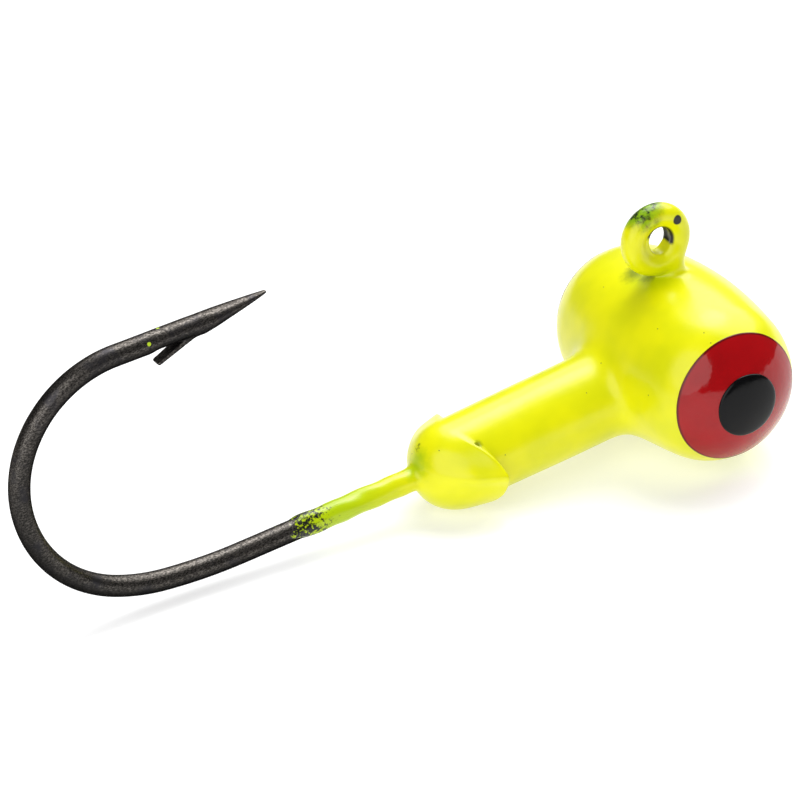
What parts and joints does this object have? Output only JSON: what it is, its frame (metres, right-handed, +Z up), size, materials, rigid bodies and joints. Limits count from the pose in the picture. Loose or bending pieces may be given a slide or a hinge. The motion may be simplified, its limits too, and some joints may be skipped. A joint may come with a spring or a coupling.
{
  "type": "jig head",
  "caption": "Lead jig head cast on a bronzed hook: a chartreuse barrel with domed red eyes, a barbed bait collar and an upright line eye.",
  "frame": {"origin": "on the floor under the middle of the outline, between the back of the bend and the front of the head", "axes": "+X from the bend towards the head, +Y across the barrel from the near eye to the far eye, +Z up; the jig stands on its barrel and the underside of its keeper"},
  "size_m": [0.0304, 0.0108, 0.011],
  "materials": {
    "bronzed_wire": "dark bronze-black satin",
    "lead": "dull cast",
    "chartreuse_paint": "fluorescent yellow-green gloss",
    "red_enamel": "gloss",
    "black_enamel": "satin gloss"
  },
  "bodies": {
    "root": {"hook": "bronzed_wire", "head_casting": "lead", "head_coat": "chartreuse_paint", "line_eye_coat": "chartreuse_paint", "shank_coat": "chartreuse_paint", "iris_near": "red_enamel", "iris_far": "red_enamel", "pupil_near": "black_enamel", "pupil_far": "black_enamel"}
  },
  "joints": []
}
